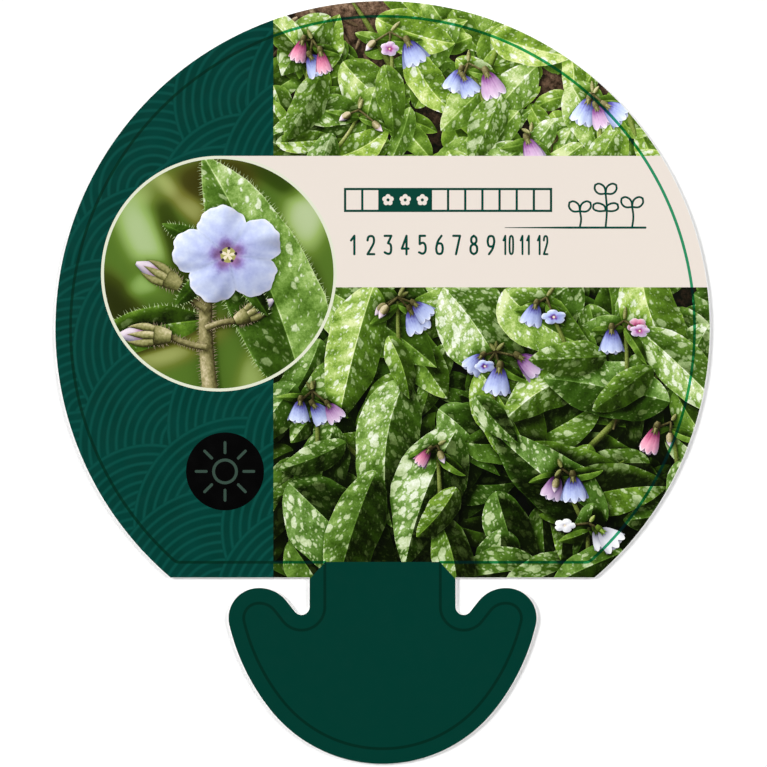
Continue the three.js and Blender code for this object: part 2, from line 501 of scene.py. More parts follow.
def corolla(at, size, tip, hue, white=0.0, bright=1.0, within=None, squash=0.85, ruffle=0.02, start=0.0):
    """A flower seen into its mouth: five joined lobes round a funnel."""
    at = np.asarray(at, float)
    seed = rng.random()
    small = size < 6
    turns = np.linspace(0, 2 * math.pi, 40 if small else 140, endpoint=False)

    def reach_at(turn):
        lobes = np.abs(np.cos(2.5 * (turn - tip)))**0.6
        wave = np.sin(7 * turn + 9 * seed) + 0.7 * np.sin(16 * turn + 30 * seed) + 0.4 * np.sin(31 * turn)
        return (0.72 + 0.28 * lobes) * (1 + ruffle * wave)

    def paint(points):
        rel = (points - at) / (size / 2) / (1, squash)
        far, turn = np.hypot(*rel.T), np.arctan2(*rel.T[::-1])
        rho = far / reach_at(turn)
        phase = 2.5 * (turn - tip)
        slope = np.where(rho < 0.35, -1.1 * (1 - rho / 0.35), 0.9 * (rho - 0.35))
        crease = 0.5 * np.sin(2 * phase) * rho
        crease = crease + 12 * ruffle * rho * np.sin(11 * turn + 6 * rho + 9 * seed)
        ray, round_ = np.stack([np.cos(turn), np.sin(turn)], 1), np.stack([-np.sin(turn), np.cos(turn)], 1)
        flat = ray * np.sin(slope)[:, None] + round_ * np.sin(crease)[:, None]
        normal = np.c_[flat, np.ones(len(points))]
        normal /= np.linalg.norm(normal, axis=1)[:, None]
        light = bright * (0.22 + 0.72 * np.clip(normal @ LIGHT, 0, 1))
        flame = np.exp(-((rho - 0.26) / 0.12)**2) * np.cos(phase)**2
        fold = np.abs(np.cos(phase)) * far * (0.2 if small else 0.5) + 0.02
        light *= 1 - 0.3 * np.exp(-(np.cos(phase) * rho / 0.07)**2) * np.clip(1.25 - rho, 0, 1)
        pink = hue + 0.75 * np.exp(-(rho / 0.24)**2)
        out = rho * (0.8 - start) + start + 0.02 - 0.3 * flame
        return np.stack([out, fold, 1.6 * (1 - rho)], 1), light, np.clip(pink, 0, 1), white, seed

    around = np.stack([np.cos(turns), squash * np.sin(turns)], 1)
    edge = at + (size / 2) * reach_at(turns)[:, None] * around
    lay(edge, "petal", within, paint)
    cast(edge[::1 if small else 4], 0.3, within)


def face(at, size, tip, hue, white=0.0, bright=1.0, within=None, squash=0.85):
    """A small flower seen open, with its throat."""
    corolla(at, size, tip, hue, white, bright, within, squash)
    lay(disc(at, size * 0.05), "throat", within)


def bud(at, heading, size, hue, bright=1.0, within=None):
    """A closed flower, half out of its calyx."""
    spine = curve_of(at, heading, size, bend=0.3, count=12)
    strip(spine, swell(size * 0.25, 0.3, 3.1, 12), "petal", bright, hue, 0.0, 1.1, 0.25,
          within, size, 0.3)
    strip(spine[:8], swell(size * 0.27, 0.5, 2.5, 8), "stalk", bright, 0.8, 0.0, 1.1, 0.2, within)


# The ink of petals is a halftone that runs from violet or deep pink in the throat to a pale edge,
# with a few veins to each lobe. The skin between them is crinkled, with creases 0.8 mm apart.
tree, tone, place = halftone("petal")
along, across, margin = add(tree, "SeparateXYZ", {0: place}).outputs
edge = add(tree, "Math", {0: margin, 1: -9.0, 2: 1.0}, operation="MULTIPLY_ADD", use_clamp=True)
veins = add(tree, "Math", {0: across, 1: 34.0}, operation="MULTIPLY")
veins = add(tree, "Math", {0: veins}, operation="COSINE")
middle = add(tree, "Math", {0: across}, operation="ABSOLUTE")
middle = add(tree, "Math", {0: middle, 1: -30.0, 2: 1.3}, operation="MULTIPLY_ADD", use_clamp=True)
where = add(tree, "TexCoord").outputs["Object"]
crinkle = add(tree, "TexNoise", {"Vector": where, "Scale": 1200.0, "Detail": 5.0, "Roughness": 0.65})
out = along
for form, share in ((edge, 0.22), (veins, 0.06), (middle, -0.2), (crinkle, 0.44)):
    out = add(tree, "Math", {0: form, 1: share, 2: out}, operation="MULTIPLY_ADD")
out = add(tree, "Math", {0: out, 1: 0.22}, operation="SUBTRACT")
blue = add(tree, "ValToRGB", {0: out}, stops=[
    (0.0, "#4c3e94"), (1.0, "#f0f4ff"), (0.18, "#807fd0"), (0.4, "#b2bef0"), (0.72, "#d0dcfb")])
pink = add(tree, "ValToRGB", {0: out}, stops=[
    (0.0, "#a02e5c"), (1.0, "#fdeaf0"), (0.18, "#d05c88"), (0.4, "#e98cab"), (0.72, "#f4b6ca")])
hue = add(tree, "MixRGB", {0: tone.outputs["Y"], 1: blue, 2: pink})
hue = add(tree, "MixRGB", {0: tone.outputs["Z"], 1: hue, 2: linear("#fbfbf4")})
shine = add(tree, "Math", {0: crinkle, 1: 0.24, 2: 1.03}, operation="MULTIPLY_ADD")
shine = add(tree, "Math", {0: shine, 1: tone}, operation="MULTIPLY")
bluer = add(tree, "Math", {0: shine, 1: 0.85}, operation="POWER")
shine = add(tree, "CombineXYZ", {0: shine, 1: shine, 2: bluer})
varnished(tree, add(tree, "VectorMath", {0: hue, 1: shine}, operation="MULTIPLY"))
flat_ink("throat", "#e8dcc0")


# The clusters: flowers, buds and narrow leaves at the top of each hairy stalk, and here and there the
# brown cups that are left after flowering, each round a dark hollow with a dry seed in it
def cluster(at, count, pink, down=8.0, size=2.8, bright=1.0, white=0.0):
    """Flowers, buds and narrow leaves at the top of a hairy stalk, whose foot a leaf hides."""
    at = np.asarray(at, float)
    stem = curve_of(at - (0, 0.5), -math.pi / 2 + rng.normal(0, 0.25), down, rng.uniform(-0.5, 0.5))
    strip(stem, np.linspace(0.2, 0.32, 15), "stalk", 0.85 * bright, 0.4, height=0.6, within=PICTURE)
    heading = -math.pi / 2 + rng.normal(0, 0.9)
    length = rng.uniform(8, 11)
    leaf(stem[-1] - polar(0.42 * length, heading), heading, length, length * rng.uniform(0.19, 0.24),
         bend=rng.uniform(-0.5, 0.5), roll=rng.uniform(-0.3, 0.3), bright=bright * 0.9,
         warmth=rng.uniform(0, 0.9), spots=rng.uniform(0.5, 0.9), within=PICTURE)
    for side in (-1, 1):
        leaf(at - (0, 1.0), -math.pi / 2 + side * rng.uniform(0.6, 1.7), rng.uniform(3.5, 6),
             rng.uniform(0.6, 0.9), bend=side * rng.uniform(-0.6, 0.6), bright=bright * 0.9,
             warmth=0.6, spots=0.2, height=0.5, within=PICTURE)
    for i in range(count):
        angle = -math.pi / 2 + (i + 0.5 - count / 2) * 2.5 / max(count, 2) + rng.normal(0, 0.3)
        out = polar(rng.uniform(0.8, 2.8), angle) * (1.2, 0.8)
        stalk = np.linspace(at, at + out, 5)
        strip(stalk, 0.14, "stalk", 0.75 * bright, 0.8, height=0.2, within=PICTURE)
        kind = rng.random()
        hue = float(np.clip(round(rng.normal(pink, 0.4) * 2) / 2, 0, 1))
        if kind < 0.7:
            bell(at + out, angle * 0.5 - math.pi / 4 + rng.normal(0, 0.3),
                 size * rng.uniform(0.85, 1.15), hue, white, bright, PICTURE)
        elif kind < 0.84:
            face(at + out * 1.2, size * rng.uniform(0.8, 1.05), rng.uniform(0, 6), hue, white,
                 bright, PICTURE, rng.uniform(0.55, 0.85))
        else:
            bud(at + out, angle, size * 0.6, max(hue, 1.0 - white), bright, PICTURE)
    for _ in range(rng.integers(1, 4)):
        angle = math.pi / 2 + rng.normal(0, 0.9)
        husk = curve_of(at + polar(0.2, angle), angle, rng.uniform(1.0, 1.7), count=8)
        strip(husk, swell(0.28, 0.5, 2.9, 8), "stalk", 0.85 * bright, 0.6 - 0.5 * white,
              height=0.25, within=PICTURE)


def seed_cups(at, count):
    """Empty calyxes after flowering: brown cups seen from above."""
    for spot in np.asarray(at) + rng.normal(0, 1.15, (count, 2)) * (1.2, 1):
        stalk = curve_of(spot, -math.pi / 2 + rng.normal(0, 0.4), 3.2, rng.uniform(-0.5, 0.5), count=6)
        strip(stalk, 0.13, "stalk", 0.8, 0.8, height=0.3, within=PICTURE)
        size = rng.uniform(0.5, 0.72)
        s = np.linspace(0.02, 0.98, 9)
        strip(np.outer(s - 0.5, (0, 2 * size)) + spot, 2 * size * np.sqrt(s - s * s), "stalk",
              rng.uniform(0.8, 1.1), 0.8, height=0.35, within=PICTURE)
        lay(disc(spot + (0.05, 0.05), size * 0.52), "hollow", PICTURE)
        lay(disc(spot + (-0.03, 0.0), size * 0.2), "dry_seed", PICTURE)


flat_ink("hollow", "#1c130b")
flat_ink("dry_seed", "#6f5f48")

# The ground under the plants: dry crumbled soil, brown in the sun and near black under the leaves,
# in clods about 1 mm across
SOIL_ROWS, SOIL_LIGHT = (-12, 5, 22, 42), (0.14, 0.34, 0.26, 0.99)    # mm up the picture, and its light


def soil(points):
    light = np.interp(points[:, 1], SOIL_ROWS, SOIL_LIGHT)
    return np.c_[points, np.zeros(len(points))], light, 0, 0, 0.5


PICTURE = lay(box(PANEL_EDGE, -HEAD_CUT - 1, 60, 60), "soil", paint=soil)

tree, tone, place = halftone("soil")
clods = add(tree, "TexNoise", {"Vector": place, "Scale": 1.1, "Detail": 8.0, "Roughness": 0.75})
clods = add(tree, "Math", {0: clods, 1: 2.6, 2: -0.75}, operation="MULTIPLY_ADD", use_clamp=True)
dark = add(tree, "Math", {0: clods, 1: tone.outputs["X"]}, operation="MULTIPLY")
varnished(tree, add(tree, "ValToRGB", {0: dark}, stops=[
    (0.0, "#020302"), (1.0, "#c9a98c"), (0.08, "#0b0e06"), (0.2, "#2c2116"), (0.45, "#6d5542")]))

# The planting, laid from the bottom up: twigs on the ground, small leaves in the gloom, stalks and
# spent cups, large leaves, and the flowering stalks on top
TRIES = 1500


def scatter(low, high, gap):
    """Places in a box no nearer to each other than gap, top row first."""
    found = []
    for spot in rng.uniform(low, high, (TRIES, 2)):
        if all(np.hypot(*(spot - f)) > gap for f in found):
            found.append(spot)
    return sorted(found, key=lambda p: -p[1] + rng.normal(0, 1.5))


SUN_ROWS, SUN_LIGHT = (-32, -18, -8, 4, 22, 42), (0.75, 1.25, 2.3, 2.7, 2.75, 2.75)    # as for the soil


def sunlight(spot):
    """The picture is lightest along its top and darkest at its foot."""
    side = 0.02 * (spot[0] - 6) if spot[1] > BAND_TOP - 4 else 0.0
    return np.interp(spot[1], SUN_ROWS, SUN_LIGHT) + side


def foliage(low, high, gap, length, bright, warmth, spots, height, spread=1.0):
    """One storey of leaves."""
    for spot in scatter(low, high, gap):
        size = rng.uniform(*length)
        leaf(spot, rng.normal(-math.pi / 2, spread), size, size * rng.uniform(0.17, 0.27),
             bend=rng.uniform(-0.8, 0.8), arch=rng.uniform(0.2, 0.8), keel=rng.uniform(0.05, 0.28),
             roll=rng.uniform(-0.28, 0.28), bright=sunlight(spot) * rng.uniform(*bright),
             warmth=rng.uniform(*warmth), spots=rng.uniform(*spots), height=height, within=PICTURE)


for spot in rng.uniform((-14, 31), (12, 42), (60, 2)):
    twig = curve_of(spot, rng.uniform(0, 6.3), rng.uniform(1.5, 5), rng.uniform(-0.5, 0.5), count=8)
    strip(twig, swell(rng.uniform(0.12, 0.5), 0.5, 2.7, 8), "stalk", rng.uniform(0.5, 1.3), 1.0,
          height=0.5, within=PICTURE)
foliage((-16, -35), (44, 9), 3.2, (8, 12), (0.25, 0.6), (0, 0.6), (0.2, 0.7), 0.9, 1.5)
foliage((-15, -31), (43, 11), 4.6, (11, 16), (0.7, 1.0), (0.0, 0.7), (0.4, 0.95), 1.1, 1.1)
foliage((-16, 19), (38, 37), 2.6, (5, 9), (0.5, 0.9), (0.3, 1), (0.2, 0.7), 0.6, 1.6)
foliage((4, 34), (38, 44), 3.4, (6, 10), (0.6, 1.0), (0.3, 1), (0.2, 0.7), 0.6, 1.6)
STALKS = (((20, 6), -1.2, 14), ((37, -4), -2.3, 19), ((3, -6), -1.9, 13), ((-6, -14), -0.7, 12),
          ((-4, 42), -1.0, 13), ((16, 40), -1.9, 12), ((29, 34), -1.2, 10), ((31, -17), -2.6, 12))
for spot, heading, length in STALKS:
    stem = curve_of(spot, heading, length, rng.uniform(-0.4, 0.4), count=20)
    taper = np.sin(np.linspace(0.1, 3.1, 20))**0.4
    strip(stem, np.linspace(0.3, 0.5, 20) * taper, "stalk", min(sunlight(spot) * 0.6, 0.85),
          rng.uniform(0, 0.6), height=0.9, within=PICTURE)
for spot, count in (((11, 0), 7), ((-5, -4), 4), ((29, -8), 5), ((21, 23.6), 4)):
    seed_cups(spot, count)
foliage((-13, -25), (40, 9), 7.5, (14, 21), (0.75, 1.1), (0.0, 0.8), (0.5, 0.95), 1.4, 1.0)
foliage((-15, 22), (36, 40), 4.6, (8, 12), (0.8, 1.15), (0.3, 1), (0.4, 0.9), 0.8, 1.3)
CLUSTERS = (((2, 4), 4, 0.1), ((14.5, -3), 4, 0.2), ((21, 4), 2, 0.0), ((31, 1), 3, 0.2),
            ((37, -12), 2, 0.9), ((-9, -8), 3, 0.1), ((23, -18), 3, 0.1), ((7, -15), 2, 0.7),
            ((-9, 37), 3, 0.5), ((1, 38), 3, 0.4), ((11, 34), 3, 0.1), ((-3, 28), 2, 0.1),
            ((27, 30), 3, 0.3), ((19, 25), 1, 0.6))    # where, how many flowers, how pink
for spot, count, pink in CLUSTERS:
    cluster(spot, count, pink, size=rng.uniform(2.8, 3.5), bright=1.2 if spot[1] > 15 else 1.05)
cluster((26.5, -25), 3, 0.0, 5, 3.0, 1.15, 0.8)

# The side panel: thin lighter lines, as overlapping ripples on dark green. The lines are 0.36 mm
# wide with soft edges, and 1.15 mm apart. The rings lie in slanting rows, each moved a little.
RIPPLE = 1.15
ROW_GAP, RING_GAP, STRAY, SLANT = 7.0, 16.5, 2.5, 0.6


def ripples(centre):
    return lambda points: (np.c_[points - centre, np.zeros(len(points))], 1, 0, 0, 0.5)


PANEL = lay(box(-60, -HEAD_CUT - 1, PANEL_EDGE, 60), "panel", paint=ripples((-45, 10)))
SLANTED = np.array([[math.cos(SLANT), math.sin(SLANT)], [-math.sin(SLANT), math.cos(SLANT)]])
for i, row in enumerate(np.arange(66, -66, -ROW_GAP)):
    for column in np.arange(-70, 30, RING_GAP):
        centre = (np.array([column + (i % 2) * 8, row]) + rng.uniform(-STRAY, STRAY, 2)) @ SLANTED
        if -56 < centre[0] < 0 and -46 < centre[1] < 54:
            lay(disc(centre, rng.integers(10, 14) * RIPPLE + 0.2), "panel", PANEL, ripples(centre))
tree, tone, place = halftone("panel")
away = add(tree, "VectorMath", {0: place}, operation="LENGTH").outputs["Value"]
ring = add(tree, "Math", {0: away, 1: RIPPLE / 2}, operation="PINGPONG")
line = add(tree, "Math", {0: ring, 1: -4.5, 2: 1.3}, operation="MULTIPLY_ADD", use_clamp=True)
where = add(tree, "TexCoord").outputs["Object"]
cloud = add(tree, "TexNoise", {"Vector": where, "Scale": 220.0, "Detail": 3.0})
ground = add(tree, "ValToRGB", {0: cloud}, stops=[(0.3, "#00352c"), (0.7, "#003b33")])
varnished(tree, add(tree, "MixRGB", {0: line, 1: ground, 2: linear("#06483f")}))

# The band: a calendar of the twelve months over their plain numbers, the three months of flowering
# filled and marked with a flower, and three seedlings drawn in one thin line on the ground.
flat_ink("line_green", "#063f33")
lay(box(-21, BAND_BOTTOM, 60, BAND_TOP), "cream")
STRIP_LEFT, PITCH = -4.8, 2.2
BAR_BOTTOM, BAR_TOP = 14.9, 18.0
NUMBER_BASE, NUMBER_TALL = 9.5, 2.35
GROUND = 12.9
FLOWERING = (3, 4, 5)
DIGITS = {
    "0": [[(5, 20), (1, 19), (0, 14), (0, 6), (1, 1), (5, 0)],
          [(5, 0), (9, 1), (10, 6), (10, 14), (9, 19), (5, 20)]],
    "1": [[(1, 15), (6, 20)], [(6, 20), (6, 0)]],
    "2": [[(0, 15), (1, 19), (5, 20), (9, 19), (10, 15), (9, 11), (0, 0)], [(0, 0), (10, 0)]],
    "3": [[(0, 20), (10, 20)], [(10, 20), (5, 12)], [(5, 12), (9, 11), (10, 6), (9, 1), (5, 0), (0, 2)]],
    "4": [[(7, 0), (7, 20)], [(7, 20), (0, 6)], [(0, 6), (10, 6)]],
    "5": [[(9, 20), (1, 20)], [(1, 20), (1, 11)], [(1, 11), (6, 13), (10, 10), (10, 3), (6, 0), (0, 2)]],
    "6": [[(8, 20), (2, 14), (0, 6)], [(0, 6), (1, 1), (5, 0), (9, 1), (10, 6)],
          [(10, 6), (9, 11), (5, 12), (1, 11), (0, 6)]],
    "7": [[(0, 20), (10, 20)], [(10, 20), (4, 0)]],
    "8": [[(5, 11), (1, 13), (1, 18), (5, 20)], [(5, 20), (9, 18), (9, 13), (5, 11)],
          [(5, 11), (0, 9), (0, 2), (5, 0)], [(5, 0), (10, 2), (10, 9), (5, 11)]],
    "9": [[(2, 0), (8, 6), (10, 14)], [(10, 14), (9, 19), (5, 20), (1, 19), (0, 14)],
          [(0, 14), (1, 9), (5, 8), (9, 9), (10, 14)]],
}


def pen(points, half, ink="line_green"):
    """A drawn line with round ends, half mm wide to each side."""
    points = np.asarray(points, float)
    left = lefts_of(points)
    half = np.broadcast_to(half, len(points))
    sides = [points + left * half[:, None], (points - left * half[:, None])[::-1]]
    ends = []
    for end, side, size in ((points[-1], left[-1], half[-1]), (points[0], -left[0], half[0])):
        start = math.atan2(side[1], side[0])
        ends.append([end + polar(size, start - turn) for turn in np.linspace(0, math.pi, 7)[1:-1]])
    lay(np.concatenate([sides[0], ends[0], sides[1], ends[1]]), ink)


def smooth(points, times=3):
    """Cuts the corners of a line again and again until it runs in curves."""
    points = np.asarray(points, float)
    for _ in range(times):
        mid = np.stack([points[:-1] * 0.75 + points[1:] * 0.25, points[:-1] * 0.25 + points[1:] * 0.75], 1)
        points = np.concatenate([points[:1], mid.reshape(-1, 2), points[-1:]])
    return points


RULE = 0.3
lay(box(STRIP_LEFT - RULE / 2, BAR_BOTTOM, STRIP_LEFT + 12 * PITCH + RULE / 2, BAR_TOP), "line_green")
for month in range(1, 13):
    middle = STRIP_LEFT + (month - 0.5) * PITCH
    if month in FLOWERING:
        heart = np.array([middle, (BAR_BOTTOM + BAR_TOP) / 2])
        for i in range(5):
            lay(disc(heart + polar(0.42, math.pi * (0.5 + 0.4 * i)), 0.33), "cream")
        lay(disc(heart, 0.2), "line_green")
    else:
        open_half = (PITCH - RULE) / 2
        lay(box(middle - open_half, BAR_BOTTOM + RULE, middle + open_half, BAR_TOP - RULE), "cream")
    text = str(month)
    wide, apart, half = (0.085, 0, 0.15) if len(text) == 1 else (0.046, 0.41, 0.13)
    for i, digit in enumerate(text):
        corner = np.array([middle + (2 * i - 1) * apart - 5 * wide, NUMBER_BASE])
        for line in DIGITS[digit]:
            pen(corner + smooth(line) * (wide, NUMBER_TALL / 20), half)
pen([(15.7, GROUND), (24, GROUND), (33.7, GROUND)], (0.04, 0.14, 0.14))
for x, tall, pairs in ((25.3, 2.7, 1), (28.6, 5.6, 2), (32.0, 3.4, 1)):
    top = GROUND + tall * 0.78
    pen(smooth([(x, GROUND + 0.1), (x + 0.2, GROUND + tall * 0.4), (x, top)]), 0.13)
    for i in range(pairs):
        at = np.array([x, top - 2.2 * i])
        reach = 1.35 + 0.2 * i
        for side in (-1, 1):
            tip = at + (side * reach, 1.1 - 0.3 * i)
            pen(smooth([at, at + (side * 0.1, 0.9 - 0.2 * i), tip + (side * -0.5, 0.25), tip]), 0.13)
            pen(smooth([at, at + (side * 0.9, -0.1), tip + (side * 0.1, -0.6), tip]), 0.13)

# The round inset: a close look at one flower before a spotted leaf, in an ivory rim. The garden
# behind them is out of focus: soft stretched patches, each (x, y, long, short, turn, lift, tint).
INSET_AT, INSET_RADIUS = np.array([-21.0, 7.0]), BAND_TOP - 7.0
HAZE = [(-10, 5, 7, 2.6, 2.0, 0.36, 0.1), (-5.5, -9, 6, 2.2, 0.4, 0.3, 0.8),
        (11, 7, 5, 3, 1.3, 0.4, 0.2), (12, -5, 7, 2, 1.8, -0.3, 0.2),
        (-13, -4, 5, 2.2, 2.2, -0.3, 0.5), (-1, 12, 6, 2.4, 0.2, -0.2, 0.9),
        (5, -12, 5, 2, 1.2, 0.24, 0.4), (-5, 2, 9, 1.6, 1.9, -0.22, 0.3),
        (-3, 8, 7, 1.3, 2.4, 0.22, 0.9), (-9, -1, 3, 1.4, 0.5, 0.24, 0.0),
        (8, 12, 4, 1.5, 2.6, -0.2, 0.1), (-8, 11, 3, 2, 0.3, 0.2, 0.4)]


def haze(points):
    light, warmth, total = np.full(len(points), 0.38), np.zeros(len(points)), np.full(len(points), 0.2)
    for x, y, long, short, turn, lift, tint in HAZE:
        rel = points - INSET_AT - (x, y)
        u, v = rel @ polar(1 / long, turn), rel @ polar(1 / short, turn + math.pi / 2)
        bump = np.exp(-(u * u + v * v)**1.7)
        light += lift * bump
        warmth += tint * bump
        total += bump
    return np.c_[points, np.zeros(len(points))], light, warmth / total, 0, 0.5


def fringe(edge, gap, longest, ink):
    """Fine hairs standing out to the right of a line, pointing a little along it."""
    way = np.diff(edge, axis=0)
    steps = np.concatenate([[0], np.cumsum(np.hypot(*way.T))])
    for at in np.arange(0.3, steps[-1] - 0.3, gap):
        at += rng.uniform(-0.4, 0.4) * gap
        root = np.array([np.interp(at, steps, edge[:, 0]), np.interp(at, steps, edge[:, 1])])
        i = min(np.searchsorted(steps, at), len(way)) - 1
        aim = math.atan2(way[i, 1], way[i, 0]) - 1.3 + rng.normal(0, 0.3)
        side = polar(0.045, aim + math.pi / 2)
        inner = polar(0.1, aim)
        point = root + polar(rng.uniform(0.5, 1) * longest, aim)
        lay([root - side - inner, point, root + side - inner], ink, INSET)


IVORY_WIDE = 0.38
flat_ink("ivory", "#dbdec8", 0.01)
lay(disc(INSET_AT, INSET_RADIUS), "ivory")
INSET = lay(disc(INSET_AT, INSET_RADIUS - IVORY_WIDE), "haze", paint=haze)
tree, tone, place = halftone("haze")
green = add(tree, "ValToRGB", {0: tone}, stops=[
    (0.0, "#141f05"), (1.0, "#dbe4cc"), (0.25, "#334c0f"), (0.45, "#5c7c2b"), (0.65, "#8fae5f")])
olive = add(tree, "ValToRGB", {0: tone}, stops=[
    (0.0, "#1a1405"), (1.0, "#dcdabf"), (0.25, "#453a10"), (0.45, "#716a2a"), (0.65, "#a3a05f")])
varnished(tree, add(tree, "MixRGB", {0: tone.outputs["Y"], 1: green, 2: olive}))
flat_ink("hair", "#b2c48c")
flat_ink("hair_brown", "#a08f74")
flat_ink("throat_green", "#a3a05c")
flat_ink("anther", "#3a2a3c")

far_leaf = leaf(INSET_AT + (-15.5, -9), 0.3, 15, 2.8, bend=-0.35, arch=0.3, bright=0.75, warmth=0.7,
                spots=0.35, within=INSET, zoom=1.5)
fringe(far_leaf[0][::-1], 0.45, 0.6, "hair")
big_leaf = leaf(INSET_AT + (11, -15.5), 1.9, 34, 6.2, bend=0.3, arch=0.25, keel=0.08, roll=0.1,
                bright=1.6, warmth=0.25, spots=0.5, within=INSET, zoom=1.5)
fringe(big_leaf[0][::-1], 0.35, 0.75, "hair")
fringe(big_leaf[1], 0.35, 0.75, "hair")
flower = INSET_AT + (1.2, 2.4)
stem = curve_of(INSET_AT + (-1.0, -15.5), 1.65, 17, bend=-0.25)


def hairy(spine, half, longest=0.8):
    """Hairs standing out on both sides of a stalk or a calyx."""
    wide = lefts_of(spine) * np.broadcast_to(half, len(spine))[:, None]
    fringe(spine - wide, 0.26, longest, "hair_brown")
    fringe((spine + wide)[::-1], 0.26, longest, "hair_brown")


hairy(stem, 0.8)
strip(stem, np.linspace(1.0, 0.75, 15), "stalk", 1.05, 0.8, height=1.0, within=INSET, unit=2.5)
for at, aim, size in ((stem[9], 2.5, 6.4), (stem[5], 2.95, 6.8), (stem[7], 0.35, 5.6)):
    shoot = curve_of(at, aim, size * 0.7, bend=-0.4, count=10)
    hairy(shoot, 0.36, 0.6)
    strip(shoot, 0.4, "stalk", 0.9, 0.8, height=0.6, within=INSET, unit=2.5)
    tip = shoot[-1]
    body = curve_of(tip, aim + 0.1, size, bend=0.25, count=14)
    strip(body, swell(size * 0.19, 0.25, 2.95, 14), "petal", 0.95, 0.8, 0.0, 1.1, 0.3, INSET, size, 0.2)
    cup = curve_of(tip, aim + 0.1, size * 0.5, bend=0.12, count=10)
    wide = swell(size * 0.19, 0.6, 2.1, 10)
    hairy(cup, wide * 0.95)
    strip(cup, wide, "stalk", 1.0, 0.7, height=0.3, within=INSET, unit=2.5)
    for side in (-1, 1, 0):
        root = cup[-4] + polar(side * wide[-4] * 0.62, aim + 1.7)
        tooth = curve_of(root, aim + 0.15 + side * 0.16, size * 0.5, bend=-0.5 * side, count=12)
        pointed = np.sin(np.linspace(0.9, 3.12, 12)) * np.linspace(1, 0.75, 12)
        strip(tooth, size * 0.085 * pointed, "stalk", 1.02, 0.7, height=0.06, within=INSET, unit=2.5)
for heading in (2.7, 3.9, 5.3):
    sepal = leaf(flower + polar(1.5, heading), heading, 8.4, 1.3, bright=0.6, warmth=0.3, spots=0.0,
                 within=INSET, zoom=1.5)
    fringe(sepal[0][::-1], 0.4, 0.5, "hair")
    fringe(sepal[1], 0.4, 0.5, "hair")
TIPPED = 0.86                                # how much the flower's own tilt shortens it
corolla(flower, 14.6, 0.5, 0.0, 0.1, 1.0, INSET, TIPPED, 0.022, 0.14)
lay(disc(flower, 1.0), "throat_green", INSET)
for i in range(5):
    aim = 0.2 + i * 2 * math.pi / 5
    root, tip = (flower + polar(far, aim) * (1, TIPPED) for far in (0.25, 1.0))
    strip(np.linspace(root, tip, 5), swell(0.2, 0.7, 2.6, 5), "throat", 1.0, height=0.05, within=INSET)
    lay(disc(tip, 0.2), "anther", INSET)
lay(disc(flower, 0.24), "throat", INSET)

# The small black disc with a plain sun, in two solid inks
flat_ink("black", "#010101", 0.1)
flat_ink("line_grey", "#35493f")
DISC_AT = np.array([-20.2, -18.35])
lay(disc(DISC_AT, 5.0), "black")
lay(disc(DISC_AT, 1.65), "line_grey")
lay(disc(DISC_AT, 1.28), "black")
for i in range(8):
    pen(DISC_AT + np.outer((2.4, 3.0, 3.7), polar(1, i * math.pi / 4)), 0.18, "line_grey")

# The plain dark green of the neck and foot, one solid ink that runs a little way up on to the head
# with its two corners cut off
flat_ink("foot_green", "#00362c")
INK_TOP, INK_SIDE, CHAMFER = -29.95, -29.95 - 2.25, 2.05
lay([(-30, -60), (30, -60), (30, INK_SIDE), (NECK_HALF, INK_SIDE), (NECK_HALF - CHAMFER, INK_TOP),
     (CHAMFER - NECK_HALF, INK_TOP), (-NECK_HALF, INK_SIDE), (-30, INK_SIDE)], "foot_green")

# The sheet's mesh. The printed face is first cut along the edges of everything printed on it, and
# each small face takes the last shape laid over it. It is then cut again along the borders that
# show, with a fine net of points under the pictures to carry their light and shade.
FINE, ROW_SHARE = 0.27, 0.866                # the net's gap in mm, and its rows' gap as a share of it
CLEAR, RING_CLEAR = 0.2, 0.6                 # mm that the net keeps off edges, and off the ivory ring
OFF_SHEET = 1e-3                             # mm: a face further off the first mesh than this isn't kept


def net(low, high, gap):
    """Points in rows, each row moved on by half a gap, which make triangles of even sides."""
    across = np.arange(low[0], high[0], gap)
    rows = np.arange(low[1], high[1], gap * ROW_SHARE)
    moved = [np.c_[across + (i % 2) * gap / 2, np.full(len(across), y)] for i, y in enumerate(rows)]
    return np.concatenate(moved)


points, faces = [], []
for shape in printed:
    faces.append(list(range(len(points), len(points) + len(shape["edge"]))))
    points += [Vector(p) for p in shape["edge"].tolist()]
verts, _, tris, _, _, under = delaunay_2d_cdt(points, [], faces, 1, MERGE, True)
rough, seen = [], []
for corners, ids in zip(tris, under):
    ids = set(ids)
    if SHEET in ids:
        rough.append(corners)
        over = max(j for j in ids if printed[j]["ink"] and printed[j]["within"] in ids | {None})
        seen.append((over, TRIM_OUTER in ids and TRIM_INNER not in ids))
beside = {}
for corners, look in zip(rough, seen):
    for i in range(3):
        beside.setdefault(tuple(sorted((corners[i - 1], corners[i]))), []).append(look)
borders = [ends for ends, looks in beside.items() if len(looks) == 1 or looks[0] != looks[1]]
lookup = BVHTree.FromPolygons([(*v, 0.0) for v in verts], rough)
used, borders = np.unique(borders, return_inverse=True)
inner = np.concatenate([net((-HEAD_RADIUS, -HEAD_CUT), (HEAD_RADIUS, HEAD_RADIUS), FINE), loose])
in_inset = np.hypot(*(inner - INSET_AT).T) < INSET_RADIUS - RING_CLEAR
x, y = inner.T
in_picture = (np.hypot(x, y) < HEAD_RADIUS - CLEAR) & (x > PANEL_EDGE + CLEAR / 2)
in_picture &= ((y > BAND_TOP) | (y < BAND_BOTTOM)) & (y > -HEAD_CUT + CLEAR)
points = [verts[i] for i in used] + [Vector(p) for p in inner[in_inset | in_picture].tolist()]
verts, _, tris, _, _, _ = delaunay_2d_cdt(points, borders.reshape(-1, 2).tolist(), [], 1, MERGE, False)
verts = np.array([v[:] for v in verts])
used, tris = np.unique(tris, return_inverse=True)
verts, tris = verts[used], tris.reshape(-1, 3)
